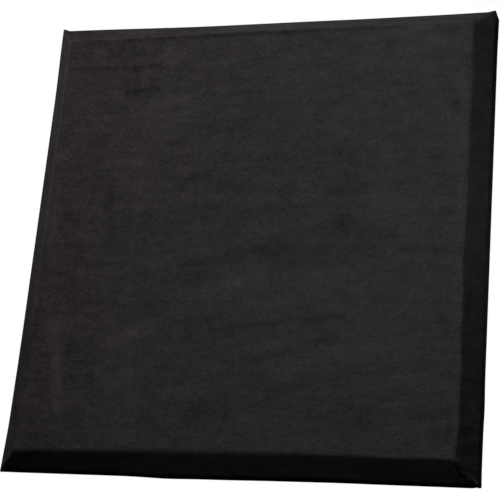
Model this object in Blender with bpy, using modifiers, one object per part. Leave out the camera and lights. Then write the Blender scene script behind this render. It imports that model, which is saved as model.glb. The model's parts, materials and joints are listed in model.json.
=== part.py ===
"""Fabric-wrapped acoustic absorption panel, 24 x 24 x 2 in, hung on four pairs of Z clips.

Metres, +Z up. The wall is the plane Y = 0 and the panel faces -Y. The origin is the point of the
wall behind the panel's centre. Pieces that touch keep the small gap SEAT_GAP between their solids.
"""
import math

import bmesh
import bpy
from mathutils import Matrix, Vector

# Panel, measured over its fabric
PANEL_SIDE = 0.6096
PANEL_THICK = 0.0508
BEVEL_LEG = 0.0222
EDGE_SOFTNESS = 0.0022
FABRIC_THICK = 0.0009
RETURN_WIDTH = 0.0450

# Glass tissue on the back of the board
SCRIM_THICK = 0.0005
SCRIM_MARGIN = 0.0080

# Plywood blocks let into the back of the board
BLOCK_SIDE = 0.0760
BLOCK_THICK = 0.0180
BLOCK_CORNER = 0.0060
BLOCK_INSET = 0.1100

# Z clips, one aluminium section used both ways round
CLIP_WIDTH = 0.0500
CLIP_METAL = 0.0020
CLIP_FOOT = 0.0100
CLIP_RISE = 0.0120
CLIP_TONGUE = 0.0140
CLIP_LEAD = 0.0007
CLIP_FILLET = 0.0010
CLIP_PLAY = 0.0004

# Wood screws, two to a clip, each hole the same distance in from its end of the clip
HOLE_INSET = 0.0110
SCREW_PITCH = CLIP_WIDTH - 2 * HOLE_INSET
SCREW_LENGTH = 0.0150
SCREW_TIP = 0.0040
SHANK_RADIUS = 0.0020
HEAD_RADIUS = 0.0045
HEAD_HEIGHT = 0.0022
CLIP_HOLE_RADIUS = 0.0025

# Clearances
SEAT_GAP = 0.0003
CUT_MARGIN = 0.0020

# Number of facets on round work
ROUND_SIDES = 24
SOFT_EDGE_STEPS = 3
FILLET_STEPS = 3
DOME_STEPS = 4

# The stack from the wall out to the front face
CLIP_STACK = 2 * CLIP_METAL + 3 * CLIP_PLAY
SCRIM_BACK_Y = -(CLIP_STACK + SEAT_GAP)
COVER_BACK_Y = SCRIM_BACK_Y + SEAT_GAP + FABRIC_THICK
COVER_FRONT_Y = COVER_BACK_Y - PANEL_THICK
CORE_BACK_Y = SCRIM_BACK_Y - SCRIM_THICK - SEAT_GAP
CORE_INSET = FABRIC_THICK + SEAT_GAP
CORE_FRONT_Y = COVER_FRONT_Y + CORE_INSET
CORE_SIDE = PANEL_SIDE - 2 * CORE_INSET

# Where the blocks, and the clips screwed to them, sit behind the panel
BLOCK_REACH = PANEL_SIDE / 2 - BLOCK_INSET
CORNERS = {
    "upper_left": (-1, 1),
    "upper_right": (1, 1),
    "lower_left": (-1, -1),
    "lower_right": (1, -1),
}
WALL_CLIP_DROP = 2 * CLIP_RISE + CLIP_TONGUE + SEAT_GAP

COLOURS = {
    "microsuede": ((0.021, 0.019, 0.020), 0.90, 0.0),
    "glass_fibre": ((0.620, 0.520, 0.240), 0.95, 0.0),
    "glass_tissue": ((0.045, 0.045, 0.047), 0.90, 0.0),
    "plywood": ((0.560, 0.380, 0.210), 0.65, 0.0),
    "clip_aluminium": ((0.780, 0.790, 0.800), 0.35, 1.0),
    "screw_zinc": ((0.620, 0.620, 0.600), 0.30, 1.0),
}


def clear_scene():
    """Removes whatever the file opened with."""
    for old in list(bpy.data.objects):
        bpy.data.objects.remove(old)


def new_collection(name):
    """Makes a collection in the scene."""
    made = bpy.data.collections.new(name)
    bpy.context.scene.collection.children.link(made)
    return made


def make_material(slot):
    """A plain Principled material in the slot's colour."""
    colour, roughness, metallic = COLOURS[slot]
    made = bpy.data.materials.new(slot)
    made.use_nodes = True
    shader = made.node_tree.nodes["Principled BSDF"]
    shader.inputs["Base Color"].default_value = (*colour, 1.0)
    shader.inputs["Roughness"].default_value = roughness
    shader.inputs["Metallic"].default_value = metallic
    return made


def add_object(name, mesh, collection, slot=None):
    """Puts a mesh in the scene under a node name, with its material."""
    made = bpy.data.objects.new(name, mesh)
    collection.objects.link(made)
    if slot and not mesh.materials:
        mesh.materials.append(MATERIALS[slot])
    return made


def mesh_from(bm, name):
    """Turns a bmesh into a mesh whose faces point outwards."""
    bmesh.ops.recalc_face_normals(bm, faces=bm.faces)
    mesh = bpy.data.meshes.new(name)
    bm.to_mesh(mesh)
    bm.free()
    return mesh


def add_block(bm, centre, size, corner):
    """Adds a box to a bmesh, with the four edges that run along Y rounded to the corner radius."""
    place = Matrix.Translation(Vector(centre)) @ Matrix.Diagonal((*size, 1.0))
    made = bmesh.ops.create_cube(bm, size=1.0, matrix=place)["verts"]
    along_y = [
        edge
        for edge in {e for v in made for e in v.link_edges}
        if abs(edge.verts[0].co.y - edge.verts[1].co.y) > size[1] / 2
    ]
    bmesh.ops.bevel(
        bm,
        geom=along_y,
        offset=corner,
        offset_type="OFFSET",
        segments=SOFT_EDGE_STEPS,
        profile=0.5,
        affect="EDGES",
    )


def add_rod(bm, centre, radius, length):
    """Adds a cylinder to a bmesh, its axis along Y."""
    place = Matrix.Translation(Vector(centre)) @ Matrix.Rotation(math.pi / 2, 4, "X")
    bmesh.ops.create_cone(
        bm,
        cap_ends=True,
        segments=ROUND_SIDES,
        radius1=radius,
        radius2=radius,
        depth=length,
        matrix=place,
    )


def panel_form(inset):
    """The panel's square form with its 45 degree front bevel, set in all round by inset.

    The bevel's leg shrinks with the inset so that the inner form's walls are parallel to the outer ones.
    """
    side = PANEL_SIDE - 2 * inset
    front = COVER_FRONT_Y + inset
    back = COVER_BACK_Y - inset
    leg = BEVEL_LEG - inset * (2 - math.sqrt(2))
    bm = bmesh.new()
    place = Matrix.Translation((0, (front + back) / 2, 0)) @ Matrix.Diagonal(
        (side, back - front, side, 1.0)
    )
    bmesh.ops.create_cube(bm, size=1.0, matrix=place)
    front_edges = [
        edge for edge in bm.edges if all(v.co.y < (front + back) / 2 for v in edge.verts)
    ]
    bmesh.ops.bevel(
        bm,
        geom=front_edges,
        offset=leg,
        offset_type="OFFSET",
        segments=1,
        profile=0.5,
        affect="EDGES",
    )
    return bm


def back_face(bm):
    """The flat face of a panel form that looks at the wall."""
    bmesh.ops.recalc_face_normals(bm, faces=bm.faces)
    bm.faces.ensure_lookup_table()
    return max(bm.faces, key=lambda face: face.calc_center_median().y)


def soften_edges(obj, width):
    """Rounds every real edge of a wrapped or hardened form."""
    soft = obj.modifiers.new("soft_edges", "BEVEL")
    soft.width = width
    soft.segments = SOFT_EDGE_STEPS
    soft.limit_method = "ANGLE"
    soft.angle_limit = math.radians(30)
    soft.use_clamp_overlap = True


def cut(obj, cutter):
    """Takes a cutter's volume out of a piece."""
    taken = obj.modifiers.new("cut_" + cutter.name, "BOOLEAN")
    taken.operation = "DIFFERENCE"
    taken.solver = "EXACT"
    taken.object = cutter


def hide_cutter(obj):
    """Marks a cutter, which is no part of the panel."""
    obj.hide_render = True
    obj.display_type = "WIRE"


def make_cover():
    """Microsuede skin: front, bevels and side walls in one cloth, turned over onto the back and glued."""
    bm = panel_form(0.0)
    turned = back_face(bm)
    bmesh.ops.inset_individual(bm, faces=[turned], thickness=RETURN_WIDTH)
    bmesh.ops.delete(bm, geom=[turned], context="FACES_ONLY")
    mesh = bpy.data.meshes.new("fabric_cover")
    bm.to_mesh(mesh)
    bm.free()
    cover = add_object("fabric_cover", mesh, PARTS, "microsuede")
    soften_edges(cover, EDGE_SOFTNESS)
    skin = cover.modifiers.new("cloth_thickness", "SOLIDIFY")
    skin.thickness = FABRIC_THICK
    skin.offset = -1.0
    skin.use_even_offset = True
    return cover


def make_core(pockets):
    """Rigid glass-fibre board with its bevel cut on and a pocket in its back for each block."""
    bm = panel_form(CORE_INSET)
    behind = back_face(bm)
    for vert in behind.verts:
        vert.co.y = CORE_BACK_Y
    core = add_object("core_board", mesh_from(bm, "core_board"), PARTS, "glass_fibre")
    soften_edges(core, max(EDGE_SOFTNESS - CORE_INSET / 2, SEAT_GAP))
    cut(core, pockets)
    return core


def make_pockets():
    """Cutter for the four pockets, a seat gap larger than the blocks all round."""
    bm = bmesh.new()
    depth = BLOCK_THICK + SEAT_GAP + CUT_MARGIN
    for across, up in CORNERS.values():
        centre = (across * BLOCK_REACH, CORE_BACK_Y + CUT_MARGIN - depth / 2, up * BLOCK_REACH)
        size = (BLOCK_SIDE + 2 * SEAT_GAP, depth, BLOCK_SIDE + 2 * SEAT_GAP)
        add_block(bm, centre, size, BLOCK_CORNER + SEAT_GAP)
    cutter = add_object("pocket_cutter", mesh_from(bm, "pocket_cutter"), CUTTERS)
    hide_cutter(cutter)
    return cutter


def screw_places():
    """Each screw's name and its place across and up the panel's back."""
    for corner, (across, up) in CORNERS.items():
        for hand, step in (("a", -1), ("b", 1)):
            x = across * BLOCK_REACH + step * SCREW_PITCH / 2
            yield f"clip_screw_{corner}_{hand}", x, up * BLOCK_REACH


def make_pilot_holes():
    """Cutter for the screws' holes through the tissue and into the blocks."""
    bm = bmesh.new()
    near = SCRIM_BACK_Y + CUT_MARGIN
    far = -CLIP_STACK + CLIP_METAL - SCREW_LENGTH - CUT_MARGIN / 2
    for _, x, z in screw_places():
        add_rod(bm, (x, (near + far) / 2, z), SHANK_RADIUS + SEAT_GAP, near - far)
    cutter = add_object("pilot_cutter", mesh_from(bm, "pilot_cutter"), CUTTERS)
    hide_cutter(cutter)
    return cutter


def make_scrim(pilots):
    """Black glass tissue bonded over the board's back, under the fabric's turned edge."""
    bm = bmesh.new()
    side = CORE_SIDE - 2 * SCRIM_MARGIN
    centre = (0, SCRIM_BACK_Y - SCRIM_THICK / 2, 0)
    add_block(bm, centre, (side, SCRIM_THICK, side), SCRIM_MARGIN)
    scrim = add_object("back_scrim", mesh_from(bm, "back_scrim"), PARTS, "glass_tissue")
    cut(scrim, pilots)
    return scrim


def make_mounting_block(corner, pilots):
    """Plywood block glued in its pocket, flush with the board's back, which the clip's screws bite in."""
    across, up = CORNERS[corner]
    name = f"mounting_block_{corner}"
    bm = bmesh.new()
    centre = (across * BLOCK_REACH, CORE_BACK_Y - BLOCK_THICK / 2, up * BLOCK_REACH)
    add_block(bm, centre, (BLOCK_SIDE, BLOCK_THICK, BLOCK_SIDE), BLOCK_CORNER)
    block = add_object(name, mesh_from(bm, name), PARTS, "plywood")
    cut(block, pilots)
    return block


def fillet(before, corner, after, radius):
    """Points of an arc that rounds one corner of an outline."""
    to_before = (before - corner).normalized()
    to_after = (after - corner).normalized()
    half = to_before.angle(to_after) / 2
    centre = corner + (to_before + to_after).normalized() * (radius / math.sin(half))
    start = corner + to_before * (radius / math.tan(half)) - centre
    end = corner + to_after * (radius / math.tan(half)) - centre
    turn = start.angle_signed(end)
    return [
        centre + Matrix.Rotation(-turn * step / FILLET_STEPS, 2) @ start
        for step in range(FILLET_STEPS + 1)
    ]


def clip_section():
    """Outline of the Z section: distance out from the face it is screwed to, and height over its holes."""
    tongue_in = CLIP_METAL + 2 * CLIP_PLAY
    tongue_out = tongue_in + CLIP_METAL
    tip = CLIP_RISE + CLIP_TONGUE
    sharp, soft, lead = 0.0, CLIP_FILLET, CLIP_LEAD
    corners = [
        (0.0, -CLIP_FOOT, sharp),
        (0.0, CLIP_RISE, soft),
        (tongue_in, CLIP_RISE, soft / 2),
        (tongue_in, tip, lead),
        (tongue_out, tip, lead),
        (tongue_out, CLIP_RISE - CLIP_METAL, soft),
        (CLIP_METAL, CLIP_RISE - CLIP_METAL, soft / 2),
        (CLIP_METAL, -CLIP_FOOT, sharp),
    ]
    points = []
    for i, (out, height, radius) in enumerate(corners):
        here = Vector((out, height))
        if radius:
            before = Vector(corners[i - 1][:2])
            after = Vector(corners[(i + 1) % len(corners)][:2])
            points += fillet(before, here, after, radius)
        else:
            points.append(here)
    return points


def make_clip_mesh():
    """One clip: the section drawn as a flat curve, given its width, and drilled for two screws.

    The clip stands with its flat back at Y = 0, its tongue up and out towards -Y.
    """
    points = clip_section()
    outline = bpy.data.curves.new("clip_section", "CURVE")
    outline.dimensions = "2D"
    outline.fill_mode = "BOTH"
    outline.extrude = CLIP_WIDTH / 2
    spline = outline.splines.new("POLY")
    spline.points.add(len(points) - 1)
    for made, point in zip(spline.points, points):
        made.co = (-point.x, point.y, 0.0, 1.0)
    spline.use_cyclic_u = True
    drawn = bpy.data.objects.new("clip_section", outline)
    CUTTERS.objects.link(drawn)
    # The curve's X is the part's Y, its Y is Z and its thickness is X
    drawn.matrix_world = Matrix(((0, 0, 1, 0), (1, 0, 0, 0), (0, 1, 0, 0), (0, 0, 0, 1)))
    bpy.context.view_layer.update()
    seen = drawn.evaluated_get(bpy.context.evaluated_depsgraph_get())
    mesh = bpy.data.meshes.new_from_object(seen)
    mesh.transform(drawn.matrix_world)
    bpy.data.objects.remove(drawn)
    bm = bmesh.new()
    bm.from_mesh(mesh)
    bmesh.ops.remove_doubles(bm, verts=bm.verts, dist=SEAT_GAP / 30)
    bmesh.ops.recalc_face_normals(bm, faces=bm.faces)
    bm.to_mesh(mesh)
    bm.free()
    blank = add_object("clip_blank", mesh, CUTTERS)
    holes = bmesh.new()
    for step in (-1, 1):
        add_rod(
            holes,
            (step * SCREW_PITCH / 2, -CLIP_METAL / 2, 0),
            CLIP_HOLE_RADIUS,
            CLIP_METAL + 2 * CUT_MARGIN,
        )
    drill = add_object("clip_drill", mesh_from(holes, "clip_drill"), CUTTERS)
    cut(blank, drill)
    bpy.context.view_layer.update()
    seen = blank.evaluated_get(bpy.context.evaluated_depsgraph_get())
    drilled = bpy.data.meshes.new_from_object(seen)
    drilled.name = "z_clip"
    drilled.materials.clear()
    drilled.materials.append(MATERIALS["clip_aluminium"])
    bpy.data.objects.remove(blank)
    bpy.data.objects.remove(drill)
    return drilled


def make_clips():
    """Four clips screwed to the blocks, tongues down, and four on the wall, tongues up, hooked together."""
    mesh = make_clip_mesh()
    for corner, (across, up) in CORNERS.items():
        hung = add_object(f"panel_clip_{corner}", mesh, PARTS)
        hung.location = (across * BLOCK_REACH, -CLIP_STACK, up * BLOCK_REACH)
        hung.rotation_euler = (math.pi, 0, 0)
        fixed = add_object(f"wall_clip_{corner}", mesh, PARTS)
        fixed.location = (across * BLOCK_REACH, 0, up * BLOCK_REACH - WALL_CLIP_DROP)


def make_screws():
    """Pan-head wood screws, each a turned profile standing with its head up, then laid head to the wall."""
    bm = bmesh.new()
    dome = [
        (
            HEAD_RADIUS * math.sin(math.pi / 2 * step / DOME_STEPS),
            SEAT_GAP + HEAD_HEIGHT * (1 + math.cos(math.pi / 2 * step / DOME_STEPS)) / 2,
        )
        for step in range(DOME_STEPS + 1)
    ]
    profile = dome + [
        (HEAD_RADIUS, SEAT_GAP),
        (SHANK_RADIUS, SEAT_GAP),
        (SHANK_RADIUS, SCREW_TIP - SCREW_LENGTH),
        (0.0, -SCREW_LENGTH),
    ]
    verts = [bm.verts.new((radius, 0.0, height)) for radius, height in profile]
    for upper, lower in zip(verts, verts[1:]):
        bm.edges.new((upper, lower))
    mesh = bpy.data.meshes.new("clip_screw")
    bm.to_mesh(mesh)
    bm.free()
    for name, x, z in screw_places():
        screw = add_object(name, mesh, PARTS, "screw_zinc")
        turned = screw.modifiers.new("turned", "SCREW")
        turned.angle = 2 * math.pi
        turned.steps = ROUND_SIDES
        turned.render_steps = ROUND_SIDES
        turned.use_merge_vertices = True
        turned.merge_threshold = SEAT_GAP / 30
        screw.location = (x, -CLIP_STACK + CLIP_METAL, z)
        screw.rotation_euler = (-math.pi / 2, 0, 0)


clear_scene()
PARTS = new_collection("acoustic_absorption_panel")
CUTTERS = new_collection("cutters")
MATERIALS = {slot: make_material(slot) for slot in COLOURS}

make_cover()
make_core(make_pockets())
pilot_holes = make_pilot_holes()
make_scrim(pilot_holes)
for corner_name in CORNERS:
    make_mounting_block(corner_name, pilot_holes)
make_clips()
make_screws()
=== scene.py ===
# %% [markdown]
# # A fabric-wrapped acoustic panel
#
# The object is a 24 by 24 by 2 inch sound absorber: a rigid glass-fibre board with a 45 degree bevel round
# its front, wrapped in black microsuede and hung on the wall by aluminium Z clips. The construction is
# already modelled and packed, so this lesson only dresses it. It starts by loading that fixed frame, in
# metres.

# %% Load the frame
import json
import math

import bmesh
import bpy
import numpy as np
from mathutils import Matrix, Vector

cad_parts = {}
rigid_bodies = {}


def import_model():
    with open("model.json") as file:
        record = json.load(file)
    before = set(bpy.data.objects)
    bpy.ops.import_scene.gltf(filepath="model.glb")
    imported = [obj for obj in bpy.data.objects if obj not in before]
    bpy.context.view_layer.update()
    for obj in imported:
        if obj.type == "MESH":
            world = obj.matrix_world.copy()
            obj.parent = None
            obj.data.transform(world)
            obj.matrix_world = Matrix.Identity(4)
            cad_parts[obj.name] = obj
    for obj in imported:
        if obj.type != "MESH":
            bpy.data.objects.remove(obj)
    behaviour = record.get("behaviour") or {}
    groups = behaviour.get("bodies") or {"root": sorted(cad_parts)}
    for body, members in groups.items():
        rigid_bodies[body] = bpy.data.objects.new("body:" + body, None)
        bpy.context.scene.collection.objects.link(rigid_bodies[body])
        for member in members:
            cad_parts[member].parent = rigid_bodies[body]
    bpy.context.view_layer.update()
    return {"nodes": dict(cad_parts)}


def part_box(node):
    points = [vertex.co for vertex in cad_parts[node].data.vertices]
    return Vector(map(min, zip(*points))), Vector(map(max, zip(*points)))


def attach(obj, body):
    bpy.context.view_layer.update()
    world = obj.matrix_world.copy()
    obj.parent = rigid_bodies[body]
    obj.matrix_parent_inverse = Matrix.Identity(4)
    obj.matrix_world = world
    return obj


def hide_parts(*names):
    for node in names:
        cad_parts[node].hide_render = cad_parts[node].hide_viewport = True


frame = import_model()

CAD = frame["nodes"]

# %% [markdown]
# ## The camera
#
# The photograph looks up at the panel from its lower right, with a little roll. The camera was found by
# fitting the panel's known square to the picture's edges, so it is written down as a place, a heading, a
# tilt and a roll, which say more to a reader than a matrix of nine numbers. A small lens shift keeps the
# perspective of a picture that was cropped off centre.

# %% Camera
PICTURE_SIDE_PX = 500
FOCAL_PX = 1525.1
OPTICAL_CENTRE_PX = (322.5, 180.5)
CAMERA_PLACE = (0.6102, -1.8120, -0.5689)
CAMERA_HEADING = math.radians(16.338)
CAMERA_TILT = math.radians(19.208)
CAMERA_ROLL = math.radians(4.360)
SENSOR_MM = 36.0


def placed(name, data):
    """A new object in the scene, at the origin."""
    made = bpy.data.objects.new(name, data)
    bpy.context.scene.collection.objects.link(made)
    return made


def make_camera():
    """The photograph's viewpoint, as a Blender camera."""
    lens = bpy.data.cameras.new("camera")
    lens.sensor_width = SENSOR_MM
    lens.lens = SENSOR_MM * FOCAL_PX / PICTURE_SIDE_PX
    lens.shift_x = 0.5 - OPTICAL_CENTRE_PX[0] / PICTURE_SIDE_PX
    lens.shift_y = OPTICAL_CENTRE_PX[1] / PICTURE_SIDE_PX - 0.5
    camera = placed("camera", lens)
    aim = Matrix.Rotation(CAMERA_HEADING, 4, "Z") @ Matrix.Rotation(math.pi / 2 + CAMERA_TILT, 4, "X")
    camera.matrix_world = Matrix.Translation(CAMERA_PLACE) @ aim @ Matrix.Rotation(CAMERA_ROLL, 4, "Z")
    bpy.context.scene.camera = camera
    return camera


camera = make_camera()
lens = camera.data
print("lens, mm:", round(lens.lens, 1), "shift:", round(lens.shift_x, 3), round(lens.shift_y, 3))

# %% [markdown]
# ## A kit for node trees
#
# The world, the floor, the finishes and the screws are all node trees. Drawn in the editor such a tree is
# quick to make, but a script that makes it node by node gets long. So one small class makes a node, sets
# it up and links it in a single call, where an input is either a value or another node's output. A finish
# is such a tree with the Principled shader at its end.

def fill_inputs(tree, node, inputs):
    """Sets or links inputs: i0 is the first one, and any other name is the socket's, with _ for a space."""
    for name, value in inputs.items():
        socket = node.inputs[int(name[1:]) if name[1:].isdigit() else name.replace("_", " ")]
        if isinstance(value, bpy.types.NodeSocket):
            tree.group.links.new(value, socket)
        else:
            socket.default_value = value


class Tree:
    """A node tree under construction."""

    def __init__(self, group):
        self.group = group

    def node(self, kind, settings=None, **inputs):
        """A new node with its settings and inputs."""
        made = self.group.nodes.new(kind)
        for name, value in (settings or {}).items():
            setattr(made, name, value)
        fill_inputs(self, made, inputs)
        return made

    def math(self, operation, a, b):
        """Arithmetic on two values."""
        return self.node("ShaderNodeMath", {"operation": operation}, i0=a, i1=b).outputs[0]


class Finish(Tree):
    """A Principled material, its constant values set on the shader's own sockets."""

    def __init__(self, name, roughness, metallic=0.0, specular=0.5):
        self.material = bpy.data.materials.new(name)
        self.material.use_nodes = True
        super().__init__(self.material.node_tree)
        self.shader = self.group.nodes["Principled BSDF"]
        self.give(Roughness=roughness, Metallic=metallic, Specular_IOR_Level=specular)
        print("finish:", name)

    def give(self, **inputs):
        """Sets or links inputs of the shader."""
        fill_inputs(self, self.shader, inputs)


def between(tree, first, second, share):
    """A colour between two colours, each a tuple or another node's output."""
    first, second = ((*c, 1) if isinstance(c, tuple) else c for c in (first, second))
    made = tree.node("ShaderNodeMix", {"data_type": "RGBA"}, A=first, B=second, Factor=share)
    return made.outputs["Result"]


# %% [markdown]
# ## Light and stage
#
# The picture is a studio cut-out on white. Three soft boxes light the front: the key close by and high on
# the left, which makes the top bevel the brightest strip and leaves the bottom one almost black, a cooler
# one further out in front, and a fill from the right for the right bevel. A fourth lights the back, for the
# views from there. The camera sees a white world, but the panel is lit by a dim one. A pale floor lies well
# below, out of the camera's view, and keeps the panel's shadow in the other views.

# %% World, floor and lamps
FLOOR_Z = -1.30
FLOOR_SIZE = 16.0
PALE = 0.45
FLOOR_SHOWN = 0.50
FLOOR_BOUNCE = 0.03
WORLD_FILL = 0.04
FILL_TINT = (0.78, 0.90, 1.22)
WHITE = (1.0, 1.0, 1.0)
COOL_WHITE = (0.93, 0.98, 1.15)


def seen_directly(tree):
    """1 for the rays that show a surface as it is: camera, glossy and transmission rays."""
    rays = tree.node("ShaderNodeLightPath").outputs
    either = tree.math("MAXIMUM", rays["Is Camera Ray"], rays["Is Glossy Ray"])
    return tree.math("MAXIMUM", either, rays["Is Transmission Ray"])


def make_world():
    """White where it is seen, dim where it lights."""
    world = bpy.data.worlds.new("studio")
    bpy.context.scene.world = world
    world.use_nodes = True
    world.node_tree.nodes.clear()
    tree = Tree(world.node_tree)
    fill = tree.node("ShaderNodeBackground", Color=(*FILL_TINT, 1), Strength=WORLD_FILL)
    white = tree.node("ShaderNodeBackground", Color=(*WHITE, 1), Strength=1.0)
    mix = tree.node("ShaderNodeMixShader", i0=seen_directly(tree), i1=fill.outputs[0], i2=white.outputs[0])
    tree.node("ShaderNodeOutputWorld", Surface=mix.outputs[0])


def make_floor():
    """A pale floor that throws little light back up at the panel."""
    bm = bmesh.new()
    bmesh.ops.create_grid(bm, x_segments=1, y_segments=1, size=FLOOR_SIZE / 2)
    bmesh.ops.translate(bm, vec=(0, 0, FLOOR_Z), verts=bm.verts)
    mesh = bpy.data.meshes.new("floor")
    bm.to_mesh(mesh)
    bm.free()
    pale = Finish("pale_floor", roughness=0.9, specular=0.0)
    seen = seen_directly(pale)
    pale.give(
        Base_Color=between(pale, (FLOOR_BOUNCE,) * 3, (PALE,) * 3, seen),
        Emission_Color=(*WHITE, 1),
        Emission_Strength=pale.math("MULTIPLY", seen, FLOOR_SHOWN),
    )
    mesh.materials.append(pale.material)
    placed("floor", mesh)


def make_lamp(name, place, size, watts, colour=WHITE):
    """A square soft box at a place, turned to face the panel's middle."""
    lamp = bpy.data.lights.new(name, "AREA")
    lamp.color = colour
    lamp.shape = "SQUARE"
    lamp.size = size
    lamp.energy = watts
    way = Vector((0.0, 0.0, 0.0)) - Vector(place)
    turn = way.to_track_quat("-Z", "Y").to_matrix().to_4x4()
    placed(name, lamp).matrix_world = Matrix.Translation(place) @ turn


make_world()
make_floor()
make_lamp("key_soft_box", (-0.81, -1.16, 1.41), 1.0, 42.8)
make_lamp("front_soft_box", (-0.74, -2.76, 1.65), 1.0, 22.0, COOL_WHITE)
make_lamp("right_fill", (1.72, -2.45, 1.39), 1.0, 37.0)
make_lamp("back_soft_box", (0.0, 2.6, 1.0), 0.6, 70.0)
print("lamps:", [lamp.name for lamp in bpy.data.lights])

# %% [markdown]
# ## Microsuede
#
# Microsuede is a dense nap of very fine fibres. Its colour shifts a little wherever the nap lies another
# way, so black microsuede is never one flat black: it has soft patches, finer mottling, streaks along the
# way it was brushed and a grain. These change the colour, the tufts and the grain are also a bump, and a
# weak sheen lifts the colour at a grazing angle. The colour also reads painted light and shade that the
# mesh carries with its brush marks. Real fibres could be grown as hair, but at this distance none of them
# would be seen. The dye drifts a little too: it is more purple to the left. All patterns are in object
# coordinates, so they run on over the bevels as the one cloth does.

# %% Patterns
def object_coordinates(tree, stretch=(1.0, 1.0, 1.0)):
    """Object coordinates, scaled along each axis to stretch a pattern."""
    where = tree.node("ShaderNodeTexCoord").outputs["Object"]
    return tree.node("ShaderNodeMapping", Vector=where, Scale=stretch).outputs["Vector"]


def noise_at(tree, where, scale, detail=3.0, roughness=0.5, distortion=0.0):
    """A noise value from 0 to 1 with a mean near one half."""
    return tree.node(
        "ShaderNodeTexNoise", Vector=where, Scale=scale, Detail=detail, Roughness=roughness,
        Distortion=distortion,
    ).outputs["Fac"]


def spread(tree, value, low, high, from_low=0.3, from_high=0.7):
    """Stretches a value's middle range to run from low to high."""
    return tree.node(
        "ShaderNodeMapRange", Value=value, From_Min=from_low, From_Max=from_high, To_Min=low, To_Max=high
    ).outputs["Result"]


def times(tree, a, b):
    """The product of two values."""
    return tree.math("MULTIPLY", a, b)


def tinted(tree, colour, factor):
    """A colour made lighter or darker by a factor."""
    made = tree.node("ShaderNodeVectorMath", {"operation": "SCALE"}, i0=colour, Scale=factor)
    return made.outputs["Vector"]


def bump(tree, height, distance, strength, over=None):
    """A bump from a height value, laid over an earlier one if there is one."""
    earlier = {} if over is None else {"Normal": over}
    made = tree.node("ShaderNodeBump", Distance=distance, Strength=strength, Height=height, **earlier)
    return made.outputs["Normal"]


# %% Microsuede
SUEDE_BLACK = (0.0227, 0.0196, 0.0201)
SUEDE_COOLER = (0.0212, 0.0200, 0.0212)
SUEDE_PURPLE = (0.0219, 0.0184, 0.0206)
NAP_STRETCH = (0.65, 1.0, 1.0)
BRUSHED_STRETCH = (0.16, 1.0, 1.0)


def suede_shade(suede, where, fibre):
    """How light the nap is, near 1: noise patterns, plus brush marks and painted light and shade from the
    mesh.
    """
    brushed_way = object_coordinates(suede, BRUSHED_STRETCH)
    patches = noise_at(suede, where, scale=16.0, detail=3.0, roughness=0.75, distortion=0.7)
    mottle = noise_at(suede, where, scale=85.0, detail=4.0, roughness=0.78, distortion=0.6)
    streaks = noise_at(suede, brushed_way, scale=72.0, detail=2.0, roughness=0.6, distortion=0.4)
    broad = times(suede, spread(suede, patches, 0.90, 1.10), spread(suede, mottle, 0.80, 1.20))
    fine = times(suede, spread(suede, fibre, 0.72, 1.28), spread(suede, streaks, 0.91, 1.09))
    # The mesh's attribute holds the nap's brush marks together with painted light and painted shade.
    nap_marks_and_painted_light = suede.node("ShaderNodeAttribute", {"attribute_name": "nap_and_painted_light"}).outputs["Fac"]
    return suede.math("ADD", times(suede, broad, fine), nap_marks_and_painted_light)


def suede_dye(suede, where):
    """The dye: a black that drifts between two tones, and turns purple to the left, but not on the bevel."""
    drift = spread(suede, noise_at(suede, where, scale=60.0, detail=4.0, roughness=0.8), 0.0, 1.0)
    x = suede.node("ShaderNodeSeparateXYZ", Vector=object_coordinates(suede)).outputs["X"]
    to_left = spread(suede, x, 1.0, 0.0, from_low=-0.28, from_high=0.05)
    off_bevel = spread(suede, x, 0.2, 1.0, from_low=-0.300, from_high=-0.275)
    black = between(suede, SUEDE_BLACK, SUEDE_COOLER, drift)
    return between(suede, black, SUEDE_PURPLE, times(suede, to_left, off_bevel))


def microsuede():
    """Brushed black microsuede."""
    suede = Finish("microsuede", roughness=0.92, specular=0.0)
    where = object_coordinates(suede, NAP_STRETCH)
    fibre = noise_at(suede, where, scale=520.0, detail=2.0, roughness=0.7)
    tufts = noise_at(suede, where, scale=140.0, detail=3.0, roughness=0.6, distortion=0.5)
    suede.give(
        Base_Color=tinted(suede, suede_dye(suede, where), suede_shade(suede, where, fibre)),
        Normal=bump(suede, fibre, 0.0003, 0.6, over=bump(suede, tufts, 0.0008, 0.5)),
        Sheen_Weight=0.012,
        Sheen_Roughness=0.45,
        Sheen_Tint=(0.95, 0.85, 0.92, 1.0),
    )
    return suede.material


SUEDE = microsuede()

# %% [markdown]
# ## The cloth
#
# The cover is one square of microsuede: it lies on the face, goes over the bevels and the side walls and is
# glued on the back, with its corners folded. A cloth simulation could wrap it, but a taut wrap is almost
# the board's own form, and the small things that make it cloth are known: soft edges, corners that stand
# out over the folded bulk, a slight wave along each side, faint ridges. So it is built as a fine mesh,
# a flat grid with nested rings round it, and those small things are moved into it one by one.
#
# Each ring is one line of the wrapped edge's section: over the crest where the bevel starts, down the
# bevel, over the shoulder, down the side wall, over the heel and in along the back to the hem. The three
# roundings are arcs, and on an arc the way out of the cloth is known too, which the later steps need.

# %% The cover's sizes
cover_low, cover_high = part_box("fabric_cover")
HALF = (cover_high.x - cover_low.x) / 2
FRONT_Y = cover_low.y
BACK_Y = cover_high.y
BEVEL_LEG = 0.0222
RETURN_WIDTH = 0.0450
CLOTH_THICK = 0.0009
CREST_RADIUS, SHOULDER_RADIUS, HEEL_RADIUS = 0.0045, 0.0030, 0.0012
CREST_TURN, SHOULDER_TURN, HEEL_TURN = math.radians(45), math.radians(45), math.radians(90)
CORNER_ROUND = 0.0009
GRID_CELLS = 168
CROWDED_CELLS = 30
FINEST_CELL = 0.20
BORDER_POWER = 8
CREST_STEPS, BEVEL_STEPS, SHOULDER_STEPS, WALL_STEPS, HEEL_STEPS, HEM_STEPS = 5, 12, 4, 3, 3, 3
print("cover, mm:", round(2000 * HALF, 1), "square,", round(1000 * (BACK_Y - FRONT_Y), 1), "deep")


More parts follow.
